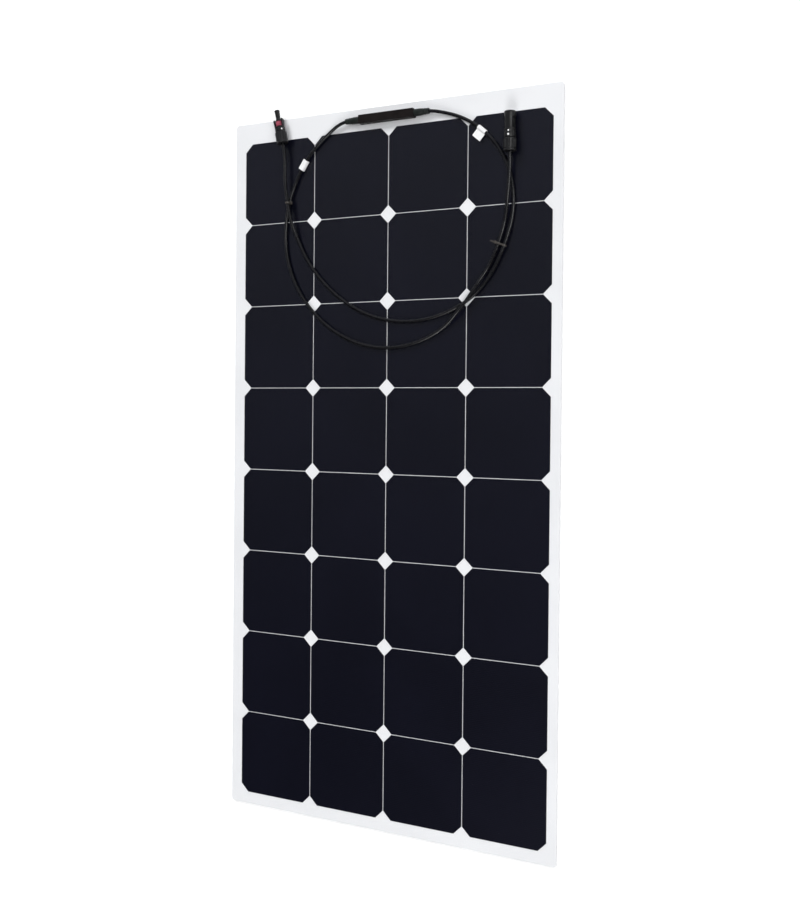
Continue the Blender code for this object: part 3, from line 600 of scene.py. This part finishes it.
NUT = soften([(8.3, 17.5), (8.9, 16.9), (8.9, 16.3)], 0.25) + [
    (8.9, h) for h in (16.1, 15.8, 13, 10, 7, 5.0, 4.7)] + soften(
    [(8.9, 4.5), (8.9, 4.0), (8.3, 3.6), (8.3, 2.6), (9.0, 2.2), (9.0, 0.6), (8.4, 0.0),
     (4.0, 0.0), (3.2, 0.5), (3.0, 7.5), (6.6, 7.6), (6.6, 17.5)], 0.3)
for side, place in (("left", PLUG), ("right", SOCKET)):
    nut = piece(f"gland_nut_{side}_ribbed", to_mesh("nut", lathe(NUT, 144, True, nut_shape)),
                "nut", place, f"gland_nut_{side}")
    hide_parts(f"gland_nut_{side}")

SPIGOT = [(6.3, 18.2), (6.3, 8.2), (2.8, 8.2), (2.8, 21.8), (0, 21.8)]

# ---- right connector: windowed shell -------------------------------------------
profile = [(0, 26.0), (4.4, 26.0), (4.4, 54.0)] + soften(
    [(4.4, 53.9), (4.9, 54.6), (7.7, 54.6), (8.25, 54.0), (8.25, 47.6), (8.05, 47.3), (8.05, 30.1),
     (8.25, 29.8), (8.25, 28.6), (7.7, 28.2), (7.7, 25.6), (8.25, 25.2), (8.25, 19.0), (7.9, 18.2),
     (6.3, 18.2)], 0.25)[1:] + SPIGOT[1:]
shell = piece("connector_shell_right_moulded", to_mesh("shell", lathe(profile, 96)), "plug",
              SOCKET)
tools = [(box_mesh([((s * 8.6, 0, 38.5), (6, 17, 15.5))], 0.5), SOCKET) for s in (-1, 1)]
tools += [(box_mesh([((s * 6.4, 0, 51), (2.0, 6.5, 15))]), SOCKET) for s in (-1, 1)]
# A shallow grip recess on top.
tools += [(box_mesh([((0, 8.9, 50.5), (4.6, 1.9, 5.0))], 0.3), SOCKET)]
cut(shell, tools)
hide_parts("connector_shell_right")
pin = piece("contact_pin_turned", to_mesh("pin", lathe(soften(
    [(0, 46.0), (0.9, 45.7), (1.6, 44.6), (2.0, 42.8), (2.0, 41.0), (1.85, 40.8), (1.85, 40.2),
     (2.0, 40.0), (2.0, 26.3), (0, 26.3)], 0.2), 40)), "tin", SOCKET)
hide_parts("contact_pin")

# ---- left connector: probe, ribbed seal, latch fingers ---------------------------
profile = [(0, 38.0), (2.6, 38.0)] + soften(
    [(2.6, 52.0), (2.9, 52.5), (3.7, 52.5), (4.0, 52.0), (3.4, 42.0), (3.6, 38.6), (4.3, 37.6),
     (4.3, 35.2), (3.6, 35.0), (3.6, 27.1), (4.9, 26.9), (4.9, 25.8), (7.6, 25.6), (7.9, 25.2),
     (7.9, 23.6), (7.4, 23.3), (7.4, 22.7), (7.9, 22.4), (7.9, 19.0), (7.5, 18.2), (6.3, 18.2)],
    0.25)[:-1] + SPIGOT
body = piece("connector_body_left_moulded", to_mesh("body", lathe(profile, 96)), "plug",
             PLUG)
cut(body, [(box_mesh([((s * 3.9, 0, 47.5), (1.0, 1.1, 11))], 0.2), PLUG) for s in (-1, 1)]
    + [(box_mesh([((0, s * 3.9, 47.5), (1.1, 1.0, 11))], 0.2), PLUG) for s in (-1, 1)])
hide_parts("connector_body_left")
sleeve = piece("contact_socket_turned", to_mesh("socket", lathe(soften(
    [(2.1, 50.5), (2.3, 50.2), (2.3, 38.3), (1.4, 38.3), (1.4, 50.5)], 0.15, True), 40, True)),
    "tin", PLUG)
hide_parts("contact_socket")
seal = piece("seal_ring_ribbed", to_mesh("seal", lathe(soften(
    [(3.75, 34.7), (4.5, 34.7), (5.0, 34.2), (5.0, 33.0), (4.55, 32.6), (4.55, 32.1), (5.0, 31.7),
     (5.0, 30.3), (4.55, 29.9), (4.55, 29.4), (5.0, 29.0), (5.0, 27.8), (4.5, 27.3), (3.75, 27.3)],
    0.35, True), 72, True), 60), "seal", PLUG)
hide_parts("seal_ring")

FINGER_ROOT, FINGER_IN, FINGER_T = 26.2, 6.0, 1.4
for side, name in ((1, "latch_finger_left"), (-1, "latch_finger_right")):
    x0, x1 = FINGER_IN * side, (FINGER_IN + FINGER_T) * side
    loop = [(x0, 0), (x1, 0), (x1, 7.9), (x1 + 0.7 * side, 8.4), (x1 + 0.5 * side, 10.4),
            (x1 - 0.4 * side, 12.3), (x0, 12.3)]
    bm = bmesh.new()
    low = [bm.verts.new((x * MM, -3.0 * MM, (FINGER_ROOT + y) * MM)) for x, y in loop]
    high = [bm.verts.new((x * MM, 3.0 * MM, (FINGER_ROOT + y) * MM)) for x, y in loop]
    bm.faces.new(low)
    bm.faces.new(high[::-1])
    for k in range(len(loop)):
        n = (k + 1) % len(loop)
        bm.faces.new((low[k], high[k], high[n], low[n]))
    bmesh.ops.bevel(bm, geom=bm.edges[:], offset=0.22 * MM, segments=3, profile=0.5,
                    affect="EDGES", clamp_overlap=True)
    finger = piece(name + "_moulded", to_mesh(name, bm), "latch", PLUG, name)
    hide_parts(name)


# ---- small raised white spots on the connectors -----------------------------------
def dot(name, place, radius, turn, t, size):
    """A slightly proud white spot on a round body, turn degrees from the top."""
    a = math.radians(90 - turn)
    bm = bmesh.new()
    centre = bm.verts.new(((radius + 0.12) * math.cos(a) * MM, (radius + 0.12) * math.sin(a) * MM, t * MM))
    rings, n = [], 24
    for k, (grow, lift) in enumerate(((0.5, 0.12), (0.85, 0.10), (1.0, 0.02), (1.0, -0.25), (0.6, -0.25))):
        ring = []
        for j in range(n):
            b = math.tau * j / n
            da = grow * size * math.cos(b) / radius
            r = radius + lift
            ring.append(bm.verts.new((r * math.cos(a + da) * MM, r * math.sin(a + da) * MM,
                                      (t + grow * size * math.sin(b)) * MM)))
        rings.append(ring)
    for j in range(n):
        bm.faces.new((centre, rings[0][j], rings[0][(j + 1) % n]))
        for p, q in zip(rings, rings[1:]):
            bm.faces.new((p[j], q[j], q[(j + 1) % n], p[(j + 1) % n]))
    bm.faces.new(rings[-1])
    return piece(name, to_mesh(name, bm), "mark", place)


# Three small raised white spots on the connector bodies, plain white in colour.
mark_a = dot("white_dot_left", PLUG, 7.9, -50, 20.9, 1.2)
mark_b = dot("white_dot_right_rear", SOCKET, 8.25, -5, 21.6, 1.5)
mark_c = dot("white_dot_right_front", SOCKET, 8.25, -5, 26.9, 1.15)


# ---- junction box --------------------------------------------------------------------
Z_BOX0, Z_RIM = Z_TOP + 0.05, Z_TOP + BOX_H - LID_T
bm = bmesh.new()
rounded_slab(bm, (*BOX, (Z_BOX0 + Z_RIM) / 2), (BOX_L, BOX_W, Z_RIM - Z_BOX0), 1.2, 0.25)
base = piece("junction_box_base_moulded", to_mesh("base", bm), "box")
inner = box_mesh([((*BOX, Z_BOX0 + 11.2), (BOX_L - 2.6, BOX_W - 2.6, 20))])
bore = to_mesh("bore", lathe([(0, 60), (2.9, 60), (2.9, -60), (0, -60)], 48))
slots = box_mesh([((BOX[0] + s * 30, BOX[1], 3), (1.2, 6.2, 5.6)) for s in (-1, 1)])
grip = box_mesh([((BOX[0] + s * 24, BOX[1] + t * (BOX_W / 2 + 0.2), Z_RIM), (9, 1.0, 2.0))
                 for s in (-1, 1) for t in (-1, 1)], 0.3)
cut(base, [(inner, Matrix()), (bore, along((*BOX, Z_TOP + LEAD_AXIS_H), (1, 0, 0))),
           (slots, Matrix()), (grip, Matrix())])
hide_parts("junction_box_base")

bm = bmesh.new()
rounded_slab(bm, (*BOX, Z_RIM + 0.05 + (LID_T - 0.1) / 2), (BOX_L, BOX_W, LID_T - 0.1), 1.2, 0.35)
lid = piece("junction_box_lid_moulded", to_mesh("lid", bm), "lid", body="junction_box_lid")
bm = bmesh.new()
rounded_slab(bm, (*BOX, Z_RIM - 0.55), (78, BOX_W - 3.2, 1.7), 0.6, 0.0)
rim = to_mesh("rim", bm)
bm = bmesh.new()
rounded_slab(bm, (BOX[0] - 1, BOX[1], Z_RIM + LID_T), (84, BOX_W - 4.0, 0.5), 1.2, 0.1)
panel = to_mesh("panel", bm)
cut(lid, [(rim, Matrix())], operation="UNION")
vent = to_mesh("vent", lathe(soften([(2.2, -0.3), (2.2, 0.6), (2.9, 0.6), (2.9, -0.3)], 0.05, True), 48, True))
cut(lid, [(panel, Matrix()), (vent, Matrix.Translation(
    ((BOX[0] + 18.5) * MM, BOX[1] * MM, (Z_RIM + LID_T - 0.35) * MM)))])
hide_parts("junction_box_lid")

# Inside: the diode's moulded body between its two wires.
AXIS = along((*BOX, Z_TOP + LEAD_AXIS_H - 0.6), (1, 0, 0))
diode = piece("bypass_diode_moulded", to_mesh("diode", lathe(soften(
    [(0, 4.9), (2.2, 4.9), (2.65, 4.5), (2.65, -4.5), (2.2, -4.9), (0, -4.9)], 0.3), 48)),
    "diode", AXIS)
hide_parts("bypass_diode")
bm = lathe(soften([(0, 28.8), (0.6, 28.8), (0.6, 4.6), (0, 4.6)], 0.15), 20)
half = bmesh.ops.duplicate(bm, geom=bm.verts[:] + bm.edges[:] + bm.faces[:])["geom"]
bmesh.ops.scale(bm, vec=(1, 1, -1), verts=[g for g in half if isinstance(g, bmesh.types.BMVert)])
piece("bypass_diode_wires", to_mesh("wires", bm), "tin", AXIS)

# ---- strain reliefs ------------------------------------------------------------------
RELIEF = soften([(3.9, 23), (4.15, 22.2), (4.3, 19.5), (3.9, 19.1), (3.9, 18.1), (4.5, 17.7),
                 (4.6, 15.2), (4.1, 14.8), (4.1, 13.8), (4.8, 13.4), (4.9, 10.4), (5.15, 9.6),
                 (5.15, 0.6), (4.8, 0.0)], 0.35)
RELIEF_BORE = [(2.85, 0.0), (2.85, 16.0), (3.1, 22.9)]
for side, name in ((-1, "left"), (1, "right")):
    place = along((BOX[0] + side * (BOX_L / 2 + 0.2), BOX[1], Z_TOP + LEAD_AXIS_H), (side, 0, 0))
    relief = piece(f"strain_relief_{name}_ribbed", to_mesh("relief", lathe(
        RELIEF + RELIEF_BORE, 64, True)), "relief", place)
    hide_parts(f"strain_relief_{name}")


# ---- cable ties ------------------------------------------------------------------------
def capsule(half_x, half_y, radius, count=14):
    points = []
    for cx, cy, start in ((half_x, half_y, 0), (-half_x, half_y, 90),
                          (-half_x, -half_y, 180), (half_x, -half_y, 270)):
        for k in range(count + 1):
            a = math.radians(start + 90 * k / count)
            q = (cx + radius * math.cos(a), cy + radius * math.sin(a))
            if not points or math.dist(q, points[-1]) > 1e-4:
                points.append(q)
    if math.dist(points[0], points[-1]) < 1e-4:
        points.pop()
    return points


def band(bm, outer, inner, depth, edge=0.15):
    """A closed strip between two outlines of the same count, soft along its edges."""
    n = len(outer)
    section = [(0, depth / 2 - edge), (edge, depth / 2)], [(edge, -depth / 2), (0, -depth / 2 + edge)]
    rings = []
    for (ins, z) in ((0, depth / 2 - edge), (edge, depth / 2)):
        rings.append([(outer, ins, z)])
    levels = [(outer, 0, -depth / 2 + edge), (outer, 0, depth / 2 - edge), (outer, edge, depth / 2),
              (inner, -edge, depth / 2), (inner, 0, depth / 2 - edge), (inner, 0, -depth / 2 + edge),
              (inner, -edge, -depth / 2), (outer, edge, -depth / 2)]
    made = []
    for loop, inset, z in levels:
        ring = []
        for k, (x, y) in enumerate(loop):
            a, b = loop[k - 1], loop[(k + 1) % n]
            tangent = Vector((b[0] - a[0], b[1] - a[1])).normalized()
            ring.append(bm.verts.new(((x - tangent.y * inset) * MM, (y + tangent.x * inset) * MM, z * MM)))
        made.append(ring)
    for p, q in zip(made, made[1:] + made[:1]):
        for k in range(n):
            bm.faces.new((p[k], p[(k + 1) % n], q[(k + 1) % n], q[k]))


def cable_tie(node, centre, direction, half_x, half_y, tail_out):
    inner_r = LEAD_R + 0.3
    outer_r = inner_r + TIE_BAND_T
    bm = bmesh.new()
    band(bm, capsule(half_x, half_y, outer_r), capsule(half_x, half_y, inner_r), 2.6)
    place = along(centre, direction)
    tie = piece(node + "_nylon", to_mesh(node, bm), "tie", place)
    side = half_x + outer_r
    bm = bmesh.new()
    rounded_slab(bm, (side + 0.9, 0.4, 0), (3.4, 3.6, 4.4), 0.5, 0.35)
    head = to_mesh("head", bm)
    bm = bmesh.new()
    # The clipped tail: a thin tongue with fine cross teeth, leaning off the head.
    n, length = (17, 7.0) if tail_out else (11, 4.3)
    rings = []
    for k in range(n):
        t = k / (n - 1)
        thick = 0.45 + (0.07 if k % 2 else -0.02)
        half_w = 1.2 - 0.15 * t
        ring = []
        for d, z in ((-thick, -half_w), (thick, -half_w), (thick, half_w), (-thick, half_w)):
            x, y = ((side + 1.9 + t * length, 0.9 + 0.3 * t * t - d) if tail_out
                    else (side + 1.9 + d, 1.3 + t * length))
            ring.append(bm.verts.new((x * MM, y * MM, z * MM)))
        rings.append(ring)
    for p, q in zip(rings, rings[1:]):
        for k in range(4):
            bm.faces.new((p[k], p[(k + 1) % 4], q[(k + 1) % 4], q[k]))
    bm.faces.new(rings[0][::-1])
    bm.faces.new(rings[-1])
    tail = to_mesh("tail", bm)
    cut(tie, [(head, place), (tail, place)], operation="UNION")
    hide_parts(node)
    return tie


low, low_dir = lead_frame(LEFT, LEFT_RUN, LEFT_Z, STACK_L)
high, high_dir = lead_frame(RIGHT, RIGHT_RUN, RIGHT_Z, STACK_R)
mean = low_dir + high_dir if low_dir.dot(high_dir) > 0 else low_dir - high_dir
mean.z = 0
mean = -mean if mean.y > 0 else mean
tie_upper = cable_tie("cable_tie_upper", (low + high) / 2, mean, 0.15, (high.z - low.z) / 2, False)
one, one_dir = lead_frame(LEFT, LEFT_RUN, LEFT_Z, PAIR_L)
two, two_dir = lead_frame(RIGHT, RIGHT_RUN, RIGHT_Z, PAIR_R)
mean = one_dir - two_dir
mean.z = 0
mean = -mean if mean.y < 0 else mean
tie_lower = cable_tie("cable_tie_lower", (one + two) / 2, mean, (one - two).length / 2, 0.0, True)


# ---- markers on the leads ---------------------------------------------------------------
def resample(loop, count):
    p = np.array(loop + [loop[0]], float)
    s = np.concatenate([[0], np.cumsum(np.linalg.norm(np.diff(p, axis=0), axis=1))])
    u = np.linspace(0, s[-1], count, endpoint=False)
    return [(np.interp(v, s, p[:, 0]), np.interp(v, s, p[:, 1])) for v in u]


centre, direction = lead_frame(LEFT, LEFT_RUN, LEFT_Z, LABEL_LEFT_RUN)
direction.z = 0
bm = bmesh.new()
band(bm, capsule(2.0, 0, LEAD_R + 0.35 + LABEL_T), capsule(1.2, 0, LEAD_R + 0.35), LABEL_L, 0.1)
marker_left = piece("lead_marker_left_sleeve", to_mesh("sleeve", bm), "label", along(centre, direction))
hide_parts("lead_marker_left")

centre, direction = lead_frame(RIGHT, RIGHT_RUN, RIGHT_Z, LABEL_RIGHT_RUN)
direction.z = 0
place = along(centre, -direction)
bm = bmesh.new()
band(bm, capsule(0, 0, LEAD_R + 0.35 + LABEL_T), capsule(0, 0, LEAD_R + 0.35), LABEL_L - 1, 0.1)
marker_right = piece("lead_marker_right_flag", to_mesh("wrap", bm), "label", place)
bm = bmesh.new()
# The flag: two flat leaves pressed together.
n, m, w, reach = 14, 10, LABEL_L - 1, 14.5
grid = {}
for s in (-1, 1):
    for i in range(n + 1):
        for j in range(m + 1):
            x = LEAD_R + 0.5 + (reach - LEAD_R - 0.5) * i / n
            z = -w / 2 + w * j / m
            curl = 0.0
            grid[s, i, j] = bm.verts.new((x * MM, (s * 0.33 + curl) * MM, z * MM))
for s in (-1, 1):
    for i in range(n):
        for j in range(m):
            bm.faces.new((grid[s, i, j], grid[s, i + 1, j], grid[s, i + 1, j + 1], grid[s, i, j + 1]))
for i in range(n):
    for j in (0, m):
        bm.faces.new((grid[-1, i, j], grid[-1, i + 1, j], grid[1, i + 1, j], grid[1, i, j]))
for j in range(m):
    for i in (0, n):
        bm.faces.new((grid[-1, i, j], grid[-1, i, j + 1], grid[1, i, j + 1], grid[1, i, j]))
flag = to_mesh("flag", bm)
cut(marker_right, [(flag, place)], operation="UNION")
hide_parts("lead_marker_right")

# ---- CAD nodes that stay: materials only ----------------------------------------------------
for row in range(1, 9):
    for column in range(1, 5):
        NODE_LOOK = {f"cell_r{row}_c{column}": "cell"}
        for name, look in NODE_LOOK.items():
            data = bpy.data.objects[name].data
            data.materials.clear()
            data.materials.append(LOOK[look])
for name, look in (("backsheet", "back"), ("encapsulant", "eva"), ("front_film", "film"),
                   ("bus_ribbon_top_left", "ribbon"), ("bus_ribbon_top_right", "ribbon"),
                   ("bus_ribbon_top_middle", "ribbon"), ("bus_ribbon_bottom_left", "ribbon"),
                   ("bus_ribbon_bottom_right", "ribbon")):
    data = bpy.data.objects[name].data
    data.materials.clear()
    data.materials.append(LOOK[look])

# ---- floor, light ---------------------------------------------------------------------------
floor_mesh = bpy.data.meshes.new("floor")
floor_mesh.from_pydata([(-9, -9, -0.0006), (9, -9, -0.0006), (9, 9, -0.0006), (-9, 9, -0.0006)], [], [(0, 1, 2, 3)])
floor = bpy.data.objects.new("floor", floor_mesh)
SCENE.collection.objects.link(floor)
pale = Mat("floor_pale", (0.95, 0.95, 0.95), 0.9, specular=0.1)
pale.shader.inputs["Emission Color"].default_value = (1, 1, 1, 1)
pale.shader.inputs["Emission Strength"].default_value = 0.14
floor_mesh.materials.append(pale.mat)

world = bpy.data.worlds.new("studio")
SCENE.world = world
world.use_nodes = True
world.node_tree.nodes["Background"].inputs["Color"].default_value = (0.93, 0.96, 1.0, 1)
# The surround is bright towards the top of the sheet and dark towards its foot.
nodes, links = world.node_tree.nodes, world.node_tree.links
around = nodes.new("ShaderNodeTexCoord")
parts = nodes.new("ShaderNodeSeparateXYZ")
fade = nodes.new("ShaderNodeMapRange")
for socket, value in (("From Min", -0.25), ("From Max", 0.75), ("To Min", 0.03), ("To Max", 0.60)):
    fade.inputs[socket].default_value = value
links.new(around.outputs["Generated"], parts.inputs[0])
links.new(parts.outputs[1], fade.inputs["Value"])
links.new(fade.outputs["Result"], nodes["Background"].inputs["Strength"])


def area_light(name, at, towards, size, power, colour=(1, 1, 1)):
    data = bpy.data.lights.new(name, "AREA")
    data.shape = "DISK"
    data.size = size
    data.energy = power
    data.color = colour
    obj = bpy.data.objects.new(name, data)
    SCENE.collection.objects.link(obj)
    obj.location = at
    obj.rotation_mode = "QUATERNION"
    obj.rotation_quaternion = (Vector(towards) - Vector(at)).to_track_quat("-Z", "Y")
    return obj


key = area_light("key", (-2.6, 5.0, 3.9), (0, 0.1, 0), 2.2, 312)
key.visible_glossy = False
area_light("fill", (3.2, 0.4, 3.6), (0, 0, 0), 2.6, 96)
area_light("front", (0.6, -3.8, 2.9), (0, 0, 0), 2.6, 108)
